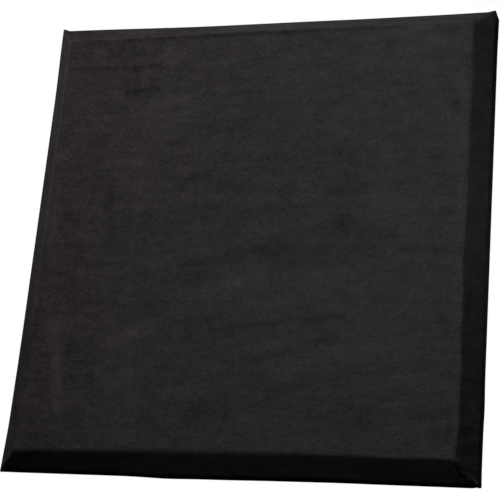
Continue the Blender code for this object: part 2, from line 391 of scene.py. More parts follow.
# %% The rings
SIDES = ("bottom", "right", "top", "left")
OUTWARD = np.array([(0, -1), (1, 0), (0, 1), (-1, 0)], float)
ALONG = np.array([(1, 0), (0, 1), (-1, 0), (0, -1)], float)
MM = 0.001


def crowded_steps(cells):
    """Steps from -1 to 1, closer together near the ends, where the corners need the detail."""
    from_end = np.minimum(np.arange(cells), np.arange(cells)[::-1]) / CROWDED_CELLS
    growth = np.clip(from_end, 0.0, 1.0)
    widths = FINEST_CELL + (1 - FINEST_CELL) * growth * growth * (3 - 2 * growth)
    return np.concatenate([[-1.0], 2 * np.cumsum(widths) / widths.sum() - 1])


steps = crowded_steps(GRID_CELLS)
ring_side = np.repeat(np.arange(4), GRID_CELLS)
ring_step = np.tile(steps[:-1], 4)
outer_place = ring_step * HALF
world_place = outer_place * ALONG[ring_side].sum(axis=1)
corner_gap = HALF - np.abs(outer_place)
print("cells along a side:", GRID_CELLS, " finest, mm:", round(1000 * HALF * float(steps[1] + 1), 2))


def near(side, at, width):
    """A smooth bump of height 1 on one side, centred at a place along the cover's outer edge, in metres."""
    here = (ring_side == SIDES.index(side)).astype(float)
    return here * np.exp(-(((world_place - at) / width) ** 2))


def bumps(*rows):
    """The sum of several bumps, each a side, its place, its width and its height, in millimetres."""
    return sum(height * MM * near(side, at * MM, width * MM) for side, at, width, height in rows)

# %% [markdown]
# ## How the cloth sits
#
# The crest, where the face turns into the bevel, is crisp where the cloth was pulled tight and rounder at
# the bottom. The board's bevel was cut by hand along a guide, so its crest also wanders: at the bottom it
# lies a few millimetres further in, and on the right it steps in and out. Over the corners, two layers of
# folded cloth lift the side walls by a millimetre or more, which fades out along each side. Between the
# corners a side waves by half a millimetre, as a fibre board's cut edge does.

# %% Roundings of the crest, the shoulder and the heel
crest_round = CREST_RADIUS + bumps(
    ("bottom", 0, 600, 2.0), ("bottom", -60, 170, 6.0), ("left", -220, 140, 4.5), ("top", -250, 45, 8.0),
    ("right", 200, 150, 1.5), ("right", 247, 20, 6.2),
)
crest_inset = bumps(
    ("bottom", -290, 30, -1.5), ("bottom", 110, 190, 3.6), ("bottom", -120, 60, 1.0), ("right", 0, 400, 0.6),
    ("right", 145, 20, 1.2), ("right", -48, 22, 2.4), ("right", 290, 50, 1.6), ("right", -190, 22, -1.4),
    ("right", -256, 18, -1.2), ("right", -298, 20, 2.4), ("bottom", 275, 35, 1.2), ("top", 20, 180, -0.7),
)
shoulder_round = np.full(4 * GRID_CELLS, SHOULDER_RADIUS)
heel_round = np.full(4 * GRID_CELLS, HEEL_RADIUS)
print("crest moves in by up to, mm:", round(1000 * float(crest_inset.max()), 1))


# %% Flares and side waves
def soft_start(distance, reach):
    """Falls from 1 at a corner to 0 at a reach from it, smoothly."""
    left = np.clip(1.0 - distance / reach, 0.0, 1.0)
    return left * left * (3 - 2 * left)


def flare(side, end, reach, height):
    """Cloth that stands out over a corner's fold, fading along one side; end is the low or the high end."""
    here = (ring_side == SIDES.index(side)).astype(float)
    return here * ((world_place > 0) == (end == "high")) * height * soft_start(corner_gap, reach)


# Side, end, reach and height, in millimetres.
FLARES = (
    ("top", "low", 235, 3.2), ("top", "high", 90, 0.8), ("left", "high", 110, 1.7),
    ("left", "low", 190, 1.6), ("left", "low", 70, 2.0), ("right", "high", 60, 0.5),
    ("bottom", "high", 80, 0.3), ("top", "low", 11, 3.0), ("top", "high", 11, 1.8),
    ("bottom", "high", 12, -1.0),
)
side_swell = sum(flare(side, end, reach * MM, height * MM) for side, end, reach, height in FLARES)
side_swell = side_swell + bumps(
    ("right", -209, 22, 0.6), ("bottom", -92, 34, 1.3), ("bottom", -30, 50, 0.8),
    ("bottom", 130, 50, -0.4), ("top", 125, 50, -0.3),
)
shoulder_swell = flare("bottom", "low", 15 * MM, 3.6 * MM)
print("sides stand out by up to, mm:", round(1000 * float(side_swell.max()), 1))


# %% The section
def arc(corner_reach, corner_y, radius, start_turn, turn, steps, before):
    """Points and outward ways of one rounding; before is the section's direction as it comes in."""
    set_back = radius * math.tan(turn / 2)
    start = (corner_reach - before[0] * set_back, corner_y - before[1] * set_back)
    centre = (start[0] - radius * math.sin(start_turn), start[1] + radius * math.cos(start_turn))
    rows = []
    for i in range(steps + 1):
        angle = start_turn + turn * i / steps
        way = (math.sin(angle), -math.cos(angle))
        rows.append((centre[0] + radius * way[0], centre[1] + radius * way[1], way))
    return rows


def straight(start, end, steps):
    """Points between two rows, without them."""
    rows = []
    for i in range(1, steps):
        t = i / steps
        rows.append((start[0] + t * (end[0] - start[0]), start[1] + t * (end[1] - start[1]), start[2]))
    return rows


def wrap_section():
    """Every row of the wrapped edge: its reach from the centre and its depth for each ring vertex."""
    crest_reach = HALF - BEVEL_LEG
    shoulder_y = FRONT_Y + BEVEL_LEG
    slope = math.sqrt(0.5)
    crest = arc(crest_reach, FRONT_Y, crest_round, 0.0, CREST_TURN, CREST_STEPS, (1.0, 0.0))
    shoulder = arc(
        HALF, shoulder_y, shoulder_round, CREST_TURN, SHOULDER_TURN, SHOULDER_STEPS, (slope, slope)
    )
    heel = arc(HALF, BACK_Y, heel_round, math.pi / 2, HEEL_TURN, HEEL_STEPS, (0.0, 1.0))
    hem = (HALF - RETURN_WIDTH + 0 * heel_round, BACK_Y + 0 * heel_round, (0.0, 1.0))
    rows = crest + straight(crest[-1], shoulder[0], BEVEL_STEPS)
    rows += shoulder + straight(shoulder[-1], heel[0], WALL_STEPS)
    rows += heel + straight(heel[-1], hem, HEM_STEPS) + [hem]
    reach = np.array([row[0] for row in rows])
    depth = np.array([row[1] for row in rows])
    ways = np.array([row[2] for row in rows])
    return reach, depth, ways


reach, depth, ways = wrap_section()
ROWS = len(reach)
run = np.concatenate([[0.0], np.cumsum(np.hypot(np.diff(reach.mean(axis=1)), np.diff(depth.mean(axis=1))))])
print("rings round the face:", ROWS, " crest to hem, mm:", round(1000 * run[-1], 1))


# %% Move the rings out and in
FIRST_SHOULDER = CREST_STEPS + BEVEL_STEPS
HEM_ROW = ROWS - 1 - HEM_STEPS
ring_row = np.arange(ROWS)
swell_share = np.clip((ring_row - CREST_STEPS) / BEVEL_STEPS, 0.0, 1.0)
hem_share = np.clip(1.0 - (ring_row - HEM_ROW) / HEM_STEPS, 0.0, 1.0)
wall_share = np.clip(1.0 - (ring_row - FIRST_SHOULDER - SHOULDER_STEPS) / WALL_STEPS, 0.0, 1.0)
reach = reach + np.outer(swell_share * hem_share, side_swell) - np.outer(1 - swell_share, crest_inset)
reach = reach + np.outer(swell_share * wall_share, shoulder_swell)

# The hem was cut by hand, so its line waves a little, each side in its own way.
# Each wave is a height, a rate along the side and a shift from side to side.
HEM_WAVES = ((0.0007, 31.0, 1.0), (0.0005, 74.0, 2.3))
HEM_WAVE_START = 0.060
hem_wave = sum(height * np.sin(rate * outer_place + shift * ring_side) for height, rate, shift in HEM_WAVES)
reach[-1] += hem_wave * np.clip(corner_gap / HEM_WAVE_START, 0.0, 1.0)
print("hem waves by up to, mm:", round(1000 * float(np.abs(hem_wave).max()), 1))


# %% Places and ways out
SOFT_FOLD_RIGHT, SOFT_FOLD_LEFT = 0.0060, 0.0070
SHARPEST_SHARE = 0.3


def mitre_radius(k):
    """A ring's corner radius: small, but round on the upper corners' bevels, where the fold is soft."""
    small = CORNER_ROUND * min(1.0, SHARPEST_SHARE + k / (2 * CREST_STEPS))
    bevel_share = min(1.0, k / FIRST_SHOULDER)
    upper_right = ((ring_side == 1) & (ring_step > 0)) | ((ring_side == 2) & (ring_step < 0))
    upper_left = ((ring_side == 2) & (ring_step > 0)) | ((ring_side == 3) & (ring_step < 0))
    rounder = SOFT_FOLD_RIGHT * upper_right + SOFT_FOLD_LEFT * upper_left
    return small + rounder * math.sin(math.pi * bevel_share)


def far_reach(row_reach):
    """For each ring vertex, the reach of the side round the nearer corner, which its own side runs up to."""
    first, last = row_reach[::GRID_CELLS], row_reach[GRID_CELLS - 1 :: GRID_CELLS]
    before, after = np.repeat(np.roll(last, 1), GRID_CELLS), np.repeat(np.roll(first, -1), GRID_CELLS)
    return np.where(ring_step < 0, before, after)


def ring_points(row_reach, radius):
    """One square ring with rounded corners: places along and outward, and how far it has turned."""
    straight_part = far_reach(row_reach) - radius
    d = np.abs(ring_step) * (straight_part + radius * math.pi / 4)
    turn = np.maximum(d - straight_part, 0.0) / radius
    along = np.where(d > straight_part, straight_part + radius * np.sin(turn), d)
    out = np.where(d > straight_part, row_reach - radius + radius * np.cos(turn), row_reach)
    return np.sign(ring_step) * along, out, np.sign(ring_step) * turn


def face_grid():
    """The face's inner grid, stretched near its border to meet the first ring."""
    first_ring = reach[0].reshape(4, GRID_CELLS)[:, 1:]
    bottom, right, top, left = first_ring[0], first_ring[1], first_ring[2][::-1], first_ring[3][::-1]
    u, v = np.meshgrid(steps[1:-1], steps[1:-1])
    middle = float(reach[0].mean())
    reach_x = np.where(u > 0, right[:, None], left[:, None])
    reach_z = np.where(v > 0, top[None, :], bottom[None, :])
    x = u * middle + np.sign(u) * np.abs(u) ** BORDER_POWER * (reach_x - middle)
    z = v * middle + np.sign(v) * np.abs(v) ** BORDER_POWER * (reach_z - middle)
    return np.stack([x.ravel(), np.full(x.size, FRONT_Y), z.ravel()], axis=1)


def in_space(flat, depth):
    """Places or ways (x, y, z) from their part in the panel's plane and their part in depth."""
    return np.stack([flat[:, 0], depth, flat[:, 1]], axis=1)


face_places = face_grid()
face_ways = np.tile([0.0, -1.0, 0.0], (len(face_places), 1))
out_of, on_along = OUTWARD[ring_side], ALONG[ring_side]
ring_places, ring_ways = [], []
for k in range(ROWS):
    along, out, turned = (part[:, None] for part in ring_points(reach[k], mitre_radius(k)))
    facing = out_of * np.cos(turned) + on_along * np.sin(turned)
    ring_places.append(in_space(out_of * out + on_along * along, depth[k]))
    ring_ways.append(in_space(facing * ways[k][0], np.full(len(turned), ways[k][1])))
places = np.concatenate([face_places] + ring_places)
ways_out = np.concatenate([face_ways] + ring_ways)
print("cloth vertices:", len(places))


# %% Faces
def cloth_faces():
    """Quads of the face's grid and of the rings, wound so that they face out."""
    n = GRID_CELLS
    index = np.zeros((n + 1, n + 1), int)
    index[1:n, 1:n] = np.arange((n - 1) ** 2).reshape(n - 1, n - 1)
    border = (n - 1) ** 2
    for j in range(n):
        index[0, j] = border + j
        index[j, n] = border + n + j
        index[n, n - j] = border + 2 * n + j
        index[n - j, 0] = border + 3 * n + j
    faces = [
        (index[i, j], index[i, j + 1], index[i + 1, j + 1], index[i + 1, j])
        for i in range(n)
        for j in range(n)
    ]
    for k in range(ROWS - 1):
        a = border + 4 * n * k
        b = a + 4 * n
        for j in range(4 * n):
            m = (j + 1) % (4 * n)
            faces.append((a + j, b + j, b + m, a + m))
    return [tuple(int(v) for v in face) for face in faces]


faces = cloth_faces()
print("cloth faces:", len(faces))

# %% [markdown]
# ## Wrinkles, brush marks and painted light
#
# Stretched over a flat board, microsuede keeps a few shallow wrinkles, here mostly in the lower right, and
# darker and lighter strokes where a hand has brushed the nap the other way. Both are soft strokes from one
# place on the face to another, so one function makes them: it gives how much of a stroke each point of the
# cloth has. The wrinkles lift the cloth by some tenths of a millimetre, with a painted shade just below
# each. The brush marks lift nothing: they are kept as a point attribute that the suede's colour reads, and
# the same attribute carries painted light and shade: a dark crease under the top bevel, a light strip
# beside the right crest and broad drifts of light and shade over the face.

# %% Strokes on the face
FACE_DEPTH = 0.004
FADE_PARTS = 7
BELOW_FOLD, SHADE_WIDTH = 0.7, 0.8
on_face = np.clip(1.0 - (places[:, 1] - FRONT_Y) / FACE_DEPTH, 0.0, 1.0)
lift = np.zeros(len(places))
nap_and_painted_light = np.zeros(len(places))


def stroke(start, end, width, bow=0.0):
    """A soft stroke over the face from one place (x, z) to another, 1 on its middle line, fading out."""
    start, end = np.array(start), np.array(end)
    length = float(np.linalg.norm(end - start))
    way = (end - start) / length
    from_start = places[:, [0, 2]] - start
    t = from_start @ way / length
    off = from_start @ np.array([-way[1], way[0]]) - 4 * bow * t * (1 - t)
    fade = np.clip(FADE_PARTS * np.minimum(t, 1 - t), 0.0, 1.0)
    return on_face * fade * fade * (3 - 2 * fade) * np.exp(-((off / width) ** 2))


def wrinkle(start, end, width, height, shade, bow=0.0):
    """A low fold: raised on its line, with a painted shade just below it, where it turns from the light."""
    lower = [(x, z - BELOW_FOLD * width) for x, z in (start, end)]
    lift[:] += height * stroke(start, end, width, bow)
    # Painted shade just below the fold.
    nap_and_painted_light[:] -= shade * stroke(*lower, SHADE_WIDTH * width, bow)


def nap_and_painted_light_strokes(*rows):
    """Strokes of nap that lies the other way, and of painted light and shade, darker where the shade is below
    0.

    Each row is a start x, z and an end x, z, a width and a shade, then a bow if the stroke is curved, all
    in millimetres but the shade, which is in hundredths.
    """
    for x0, z0, x1, z1, width, shade, *bow in rows:
        bend = bow[0] * MM if bow else 0.0
        # Real nap marks and painted light and shade go into the same attribute.
        nap_and_painted_light[:] += 0.01 * shade * stroke((x0 * MM, z0 * MM), (x1 * MM, z1 * MM), width * MM, bend)


# %% The face's wrinkles
wrinkle((0.075, -0.114), (0.139, -0.104), 0.0055, 0.00030, 0.08)
wrinkle((-0.043, -0.126), (0.069, -0.111), 0.0060, 0.00022, 0.06)
wrinkle((0.011, -0.166), (0.137, -0.126), 0.0065, 0.00024, 0.04, bow=0.002)
wrinkle((0.044, -0.201), (0.096, -0.194), 0.0065, 0.00025, 0.06)
wrinkle((0.096, -0.189), (0.222, -0.171), 0.0050, 0.00020, 0.04, bow=0.003)
print("face rises by up to, mm:", round(1000 * float(lift.max()), 2))


# %% Brush strokes and painted light and shade on the face
# Along the upper edge, with a painted shade just below the top bevel's crest.
nap_and_painted_light_strokes(
    (-262, 278, -225, 279, 4.0, -14), (-240, 278.5, 60, 279.5, 3.0, -30), (10, 279.5, 200, 279.5, 2.8, -26),
    (-310, 268, -160, 268, 18.0, -10), (162, 242, 181, 271, 5.3, -12), (-271, 257, -229, 260, 11.7, 12),
    (-169, 269, -102, 269, 7.2, -12),
)
# Upper left.
nap_and_painted_light_strokes(
    (-277, 239, -185, 235, 4.2, -14), (-188, 235, -137, 241, 5.1, -36), (-196, 201, -138, 204, 4.9, -36),
    (-134, 201, 62, 192, 5.1, -8), (-156, 184, -94, 188, 7.1, 20), (-131, 112, -88, 131, 6.0, -11),
    (-108, 64, -53, 88, 6.6, -13), (-223, 90, -188, 92, 4.3, -10), (-278.5, 270, -278.5, -100, 3.0, -7),
    (-225, 182, -186, 172, 10.6, -9), (-24, 131, 12, 131, 4.8, -13), (-224, 148, -122, 136, 18.9, -8),
    (-128, 237, -15, 214, 13.1, -12),
)
# Upper right, with a painted highlight beside the right crest.
nap_and_painted_light_strokes(
    (-2, 98, 81, 96, 4.9, -16, 3), (58, 109, 125, 105, 3.2, -15), (198, 102, 252, 95, 3.1, -15),
    (88, 56, 155, 62, 8.1, -9), (267, 229, 274, 92, 6.4, 10), (262, 178, 265, 154, 5.5, -26),
    (273, 262, 278, -143, 6.6, 10), (274, 242, 276, 190, 5.6, -14), (201, 215, 207, 181, 8.5, -11),
    (267, 209, 272, 173, 8.3, 8), (95, 60, 163, 55, 7.9, -7), (256, 168, 266, 69, 10.8, 15),
    (36, 122, 82, 123, 10.7, 13), (97, 146, 142, 149, 10.5, 12),
)
# Across the middle.
nap_and_painted_light_strokes(
    (-203, 101, -180, -38, 7.3, -15), (-211, 41, -200, -32, 4.2, 7), (-261, 4, -248, 36, 7.3, -26),
    (-171, -39, -158, -38, 6.2, -14), (-91, -46, -6, -32, 8.2, -12), (-17, -31, 72, -19, 6.7, -13),
    (190, -25, 260, -23, 3.8, -19), (9, 28, 61, 46, 9.8, -7), (109, 15, 198, -7, 9.2, -18),
    (224, 0, 275, -4, 3.8, -14), (149, 34, 224, 29, 11.6, 15), (240, 36, 264, 36, 10.5, 8),
    (-62, -84, 40, -51, 9.5, 24), (16, -57, 134, -65, 11.6, 12, 3), (272, -6, 276, -75, 4.9, 9),
    (-110, 30, 21, 21, 11.0, -10), (71, -68, 110, -64, 10.3, 9), (-183, -56, -40, -63, 17.9, -7),
    (-279, 187, -266, -89, 11.2, 9), (249, 31, 270, 23, 5.1, -14), (116, 20, 163, 24, 9.0, -12),
)
# Lower left.
nap_and_painted_light_strokes(
    (-64, -244, 3, -220, 10.1, -6), (-37, -181, -4, -215, 8.6, -8), (-253, -118, -227, -245, 8.6, 25),
    (-211, -144, -187, -219, 8.0, -14, 7), (-191, -154, -174, -152, 6.0, -12),
    (-177, -149, -128, -128, 9.6, 20), (-227, -226, -124, -179, 16.2, 5), (-271, -21, -281, -220, 5.8, -13),
    (-14, -207, -2, -248, 5.0, -12), (-197, -218, -135, -225, 17.8, -10), (-155, -123, -66, -120, 14.8, 10),
    (-110, -208, -50, -203, 11.8, 10), (-180, -148, -137, -136, 9.3, 14), (-124, -156, -73, -156, 6.7, -9),
    (-241, -123, -235, -209, 8.5, 17), (-175, -163, -131, -155, 10.7, 17),
    (-180, -249, -89, -252, 17.4, -10), (-81, -268, 23, -265, 11.6, -8),
)
# Lower right.
nap_and_painted_light_strokes(
    (7, -92, 91, -92, 7.7, 7), (-45, -128, 72, -113, 4.1, -13), (72, -116, 142, -106, 3.5, -16),
    (34, -147, 104, -130, 5.1, 7), (2, -173, 50, -159, 4.0, -12), (43, -161, 142, -127, 3.7, -14),
    (50, -183, 140, -151, 6.4, 14), (128, -161, 214, -141, 10.0, 10), (39, -203, 100, -196, 5.8, -14),
    (90, -193, 224, -173, 3.5, -13, 3), (103, -208, 201, -194, 5.5, 11), (63, -219, 107, -228, 4.8, -10),
    (255, -103, 264, -132, 6.0, -11), (213, -268, 280, -258, 3.5, -10), (146, -235, 287, -226, 7.3, -8),
    (206, -267, 285, -244, 4.2, -12), (204, -120, 278, -116, 3.7, -11), (158, -84, 197, -82, 7.5, -8),
    (252, -95, 263, -142, 6.2, -11), (241, -195, 271, -192, 9.6, 10), (72, -199, 278, -176, 14.8, 9),
    (148, -271, 203, -270, 6.1, -12), (265, -219, 277, -250, 8.3, -12),
)
# Broad drifts of painted light and shade over the face.
nap_and_painted_light_strokes(
    (-260, 420, -240, -420, 60.0, -12), (-275, -300, -235, -120, 30.0, -9), (200, 450, 230, -350, 95.0, 12),
    (-60, -88, 300, -75, 60.0, 7), (-133, -218, 13, -227, 31.1, -5), (76, -216, 286, -205, 46.6, -5),
    (-233, 221, -93, 220, 37.6, -8), (1, -155, 245, -147, 27.7, 6), (-74, -196, 134, -188, 46.2, 4),
    (120, -215, 300, -205, 70.0, -3),
)
print("nap from", round(float(nap_and_painted_light.min()), 2), "to", round(float(nap_and_painted_light.max()), 2))

# %% [markdown]
# ## Mitred corners
#
# At each corner the spare cloth is tucked under, and one side's cloth laps over the other's along the mitre,
# from the bevel down the wall and in along the back to the hem. The lap is a step of about one cloth's
# thickness that fades away from its edge, with a narrow groove on the side that lies under it; the groove
# gets a painted shade, and at the lower right the folded edge gets a painted highlight. The lower right
# corner is folded twice, and the cloth is pinched where the fold is held: once on the bevel beside the
# mitre, with a painted highlight and a painted shade round it, and once more on the shoulder, where it is
# only a painted highlight. The folded layers could be modelled one by one, but only the upper cloth's edge
# shows, so it is lifted out of the one mesh.

# %% Where each point of the cloth lies
row_of = np.concatenate([np.full(len(face_places), -1), np.repeat(np.arange(ROWS), 4 * GRID_CELLS)])
run_of = np.where(row_of < 0, 0.0, run[np.maximum(row_of, 0)])
side_of = np.concatenate([np.full(len(face_places), -1), np.tile(ring_side, ROWS)])
step_of = np.concatenate([np.zeros(len(face_places)), np.tile(ring_step, ROWS)])
reach_of = np.concatenate([np.zeros(len(face_places)), reach.ravel()])
place_of = np.where(side_of % 2 == 0, places[:, 0], places[:, 2])
SHOULDER_RUN = float(run[FIRST_SHOULDER])
BACK_RUN = float(run[HEM_ROW])
CORNERS = {"lower_right": 0, "upper_right": 1, "upper_left": 2, "lower_left": 3}
print("along the section, mm: shoulder", round(1000 * SHOULDER_RUN, 1), " back", round(1000 * BACK_RUN, 1))


# %% Laps at the mitres
LAP_BEGINS = 0.006
WALL_BEGINS = 0.010
GROOVE_AT, GROOVE_WIDTH, GROOVE_SHADE = 0.0009, 0.0011, 0.35
FOLD_AT = FOLD_WIDTH = 0.0014
FULL_GROOVE = 0.0004
MID_BEVEL = 0.45
THINNED_ON_WALL = 0.5


def past_corner(corner):
    """Distance along the ring from a corner's mitre, below 0 on the side before it, far off elsewhere."""
    before, after = CORNERS[corner], (CORNERS[corner] + 1) % 4
    distance = np.full(len(places), 1.0)
    distance = np.where(side_of == before, -(1 - step_of) * reach_of, distance)
    return np.where(side_of == after, (1 + step_of) * reach_of, distance)


def lap(corner, over, height, width, groove, edge=(0.0, 0.0, 0.0), starts=0.004, painted_highlight=0.0):
    """One side's cloth over the other's: over is 1 where the side after the corner lies on top.

    edge says how far past the mitre the upper cloth ends: at the crest, half-way down the bevel and from
    the shoulder on. starts says how far down from the crest the lap starts. The groove under the lap gets a
    painted shade, and the last argument paints a highlight along the upper cloth's folded edge.
    """
    bevel_part = np.clip(run_of / SHOULDER_RUN, 0.0, 1.0)
    ends = np.interp(bevel_part, (0.0, MID_BEVEL, 1.0), edge)
    d = over * (past_corner(corner) - ends)
    begun = np.clip((run_of - starts) / LAP_BEGINS, 0.0, 1.0)
    on_wall = np.clip((run_of - SHOULDER_RUN) / WALL_BEGINS, 0.0, 1.0)
    on_top = np.where(d >= 0, np.exp(-np.maximum(d, 0.0) / width), 0.0) * (1 - THINNED_ON_WALL * on_wall)
    under = np.where(d < 0, np.exp(-((d + GROOVE_AT) / GROOVE_WIDTH) ** 2), 0.0)
    lift[:] += begun * (height * on_top - groove * under)
    # Painted shade in the groove, and a painted highlight along the folded edge.
    nap_and_painted_light[:] -= GROOVE_SHADE * begun * under * min(1.0, groove / FULL_GROOVE)
    nap_and_painted_light[:] += painted_highlight * begun * (1 - on_wall) * np.exp(-(((d - FOLD_AT) / FOLD_WIDTH) ** 2))


OUTER_FOLD = (0.0030, -0.0060, -0.0042)
INNER_FOLD = (0.0, -0.0022, -0.0010)
lap("lower_right", 1, 0.0012, 0.008, 0.0, edge=OUTER_FOLD, starts=0.002)
lap("lower_right", 1, 0.0003, 0.008, 0.0006, edge=OUTER_FOLD, starts=0.016, painted_highlight=0.45)
lap("lower_right", 1, 0.0003, 0.005, 0.0003, edge=INNER_FOLD, starts=0.018, painted_highlight=0.50)
lap("upper_right", -1, 0.0003, 0.012, 0.0)
lap("lower_left", -1, 0.0008, 0.010, 0.0003, edge=(0.0, 0.0010, 0.0))
for corner, over in (("lower_right", 1), ("upper_right", -1), ("upper_left", 1), ("lower_left", -1)):
    lap(corner, over, 0.0004, 0.025, 0.0004, starts=BACK_RUN)


# %% Pinches beside the lower right mitre
RING_AT, RING_WIDTH = 1.6, 0.5


def pinch(side, at, down, size, height, painted_highlight, ring_shade=0.0):
    """A small tuck in the cloth: a raised spot with a painted highlight on top, and a painted shade round it
    if it is pulled tight.
    """
    off = np.hypot(at - place_of, run_of - down) / size
    here = (side_of == SIDES.index(side)) * np.exp(-off * off)
    ring = (side_of == SIDES.index(side)) * np.exp(-(((off - RING_AT) / RING_WIDTH) ** 2))
    lift[:] += height * here
    # A painted highlight on the spot and a painted shade in the ring round it.
    nap_and_painted_light[:] += painted_highlight * here - ring_shade * ring


pinch("right", -0.2794, 0.0080, 0.0018, 0.0006, painted_highlight=1.6, ring_shade=0.45)
# The second pinch is only a painted highlight, with no lift.
pinch("right", -0.3020, SHOULDER_RUN, 0.0018, 0.0, painted_highlight=1.2)
print("cloth rises by up to, mm:", round(1000 * float(lift.max()), 2))

# %% [markdown]
# ## Painted light and shade on the bevels and walls
#
# On the bevels and the side walls the colour carries painted light and shade that drifts along each side:
# a painted highlight along the left crest, lighter and darker patches on the bevels, and mostly painted
# shade on the right and bottom walls. It could be painted by hand, but a table of soft patches in the same
# attribute can be read, and changed, row by row.

# %% Shades along the sides
PARTS = {
    "crest": (0, CREST_STEPS),
    "bevel": (CREST_STEPS, FIRST_SHOULDER + 1),
    "wall": (FIRST_SHOULDER + SHOULDER_STEPS - 1, HEM_ROW - 1),
}
# Side, part, place along the side and width in millimetres, and shade in hundredths.
SIDE_SHADES = (
    ("top", "bevel", -290, 70, -30), ("top", "bevel", -130, 80, -17), ("top", "bevel", 0, 50, 7),
    ("top", "bevel", 220, 70, -4), ("top", "bevel", 295, 15, -25), ("top", "bevel", -225, 60, -7),
    ("top", "bevel", -50, 40, 6), ("left", "bevel", -230, 170, -34), ("left", "bevel", 220, 80, 6),
    ("left", "bevel", 90, 60, -6), ("left", "crest", 240, 70, 28), ("left", "crest", 50, 140, 20),
    ("left", "crest", -160, 80, -12), ("right", "bevel", -250, 170, -36), ("right", "bevel", -300, 60, -16),
    ("right", "bevel", 60, 70, 14), ("right", "bevel", 260, 45, -16), ("right", "bevel", -250, 30, 8),
    ("right", "wall", 0, 120, 45), ("right", "wall", -290, 130, -60), ("right", "wall", 280, 100, -60),
    ("right", "wall", -195, 50, -16), ("right", "wall", -55, 30, 20), ("right", "wall", 13, 22, -14),
    ("bottom", "wall", 0, 600, -60),
)


def shaded(side, part, at, width, shade):
    """A soft patch of painted light, or painted shade where the shade is below 0, on one side's crest, bevel
    or wall, centred at a place along it, in metres.
    """
    first, last = PARTS[part]
    here = (side_of == SIDES.index(side)) & (row_of >= first) & (row_of <= last)
    nap_and_painted_light[:] += shade * here * np.exp(-(((place_of - at) / width) ** 2))


# Each row paints light into the colour, or shade where its shade is below 0.
for side, part, at, width, shade in SIDE_SHADES:
    shaded(side, part, at * MM, width * MM, 0.01 * shade)
print("side patches:", len(SIDE_SHADES))

# %% [markdown]
# ## The finished cover
#
# The mesh so far is the cloth's outside. Solidify gives it the microsuede's thickness, inwards, so that the
# outside stays where it was measured. The cover takes the place of the imported one and moves with the panel.

# %% Cover object
def cloth_mesh():
    """The cloth's outside, lifted by its laps and wrinkles, with the nap and painted light and shade on its
    points.
    """
    mesh = bpy.data.meshes.new("microsuede_cover")
    mesh.from_pydata([tuple(v) for v in places + ways_out * lift[:, None]], [], faces)
    mesh.update()
    mesh.shade_smooth()
    mesh.materials.append(SUEDE)
    mesh.attributes.new("nap_and_painted_light", "FLOAT", "POINT").data.foreach_set("value", nap_and_painted_light.astype(np.float32))
    return mesh


cover = placed("microsuede_cover", cloth_mesh())
thickness = cover.modifiers.new("cloth_thickness", "SOLIDIFY")
thickness.thickness = CLOTH_THICK
thickness.offset = -1.0
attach(cover, "panel")
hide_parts("fabric_cover")

# %% [markdown]
# ## The back's finishes
#
# From behind, the panel shows the black glass tissue that closes the board and the aluminium clips. The
# tissue is a mat of fine glass fibres laid every way, so its pattern is thin light lines in three
# directions on a matt black ground. The clips are cut from an extrusion, whose die leaves fine straight
# lines along its length. The board and the plywood blocks are closed in, and get the finish they have
# where they are cut open. Pictures of such surfaces would do as well, but patterns need no files and stay
# sharp close up.

# %% Glass tissue
TISSUE_BLACK = (0.030, 0.030, 0.032)
FIBRE_TURNS = (12, 74, 131)
FIBRE_STRETCH = (0.030, 0.002, 0.0009)


def turned_coordinates(tree, degrees, stretch):
    """Object coordinates turned about Y and stretched, for a pattern that runs one way over the back."""
    return tree.node(
        "ShaderNodeMapping", {"vector_type": "TEXTURE"},
        Vector=tree.node("ShaderNodeTexCoord").outputs["Object"],
        Rotation=(0.0, math.radians(degrees), 0.0), Scale=stretch,
    ).outputs["Vector"]


def glass_tissue():
    """A black mat of fine fibres laid every way."""
    tissue = Finish("glass_tissue", roughness=0.85, specular=0.3)
    fibres = None
    for turn in FIBRE_TURNS:
        where = turned_coordinates(tissue, turn, FIBRE_STRETCH)
        one_way = noise_at(tissue, where, scale=1.0, detail=2.0, distortion=0.4)
        one_way = spread(tissue, one_way, 0.0, 1.0, from_low=0.56, from_high=0.70)
        fibres = one_way if fibres is None else tissue.math("MAXIMUM", fibres, one_way)
    clouds = noise_at(tissue, object_coordinates(tissue), scale=22.0, detail=4.0, roughness=0.6)
    shade = tissue.math("ADD", spread(tissue, clouds, 0.8, 1.2), fibres)
    tissue.give(
        Base_Color=tinted(tissue, TISSUE_BLACK, shade),
        Normal=bump(tissue, fibres, 0.0003, 0.6),
    )
    return tissue.material


# %% Aluminium, plywood and glass fibre
MILL_ALUMINIUM = (0.520, 0.527, 0.535)
BIRCH = (0.560, 0.380, 0.210)
GLASS_WOOL_YELLOW = (0.620, 0.520, 0.240)


def clip_aluminium():
    """Mill-finish extrusion: fine die lines along its length, a little uneven in gloss."""
    metal = Finish("clip_aluminium", roughness=0.38, metallic=1.0)
    die_lines = noise_at(metal, object_coordinates(metal, (6.0, 900.0, 900.0)), scale=1.0, roughness=0.6)
    stains = noise_at(metal, object_coordinates(metal), scale=55.0, detail=4.0, roughness=0.65)
    shade = times(metal, spread(metal, die_lines, 0.94, 1.05), spread(metal, stains, 0.93, 1.04))
    metal.give(
        Base_Color=tinted(metal, MILL_ALUMINIUM, shade),
        Roughness=spread(metal, stains, 0.32, 0.46),
        Normal=bump(metal, die_lines, 0.0001, 0.5),
    )
    return metal.material


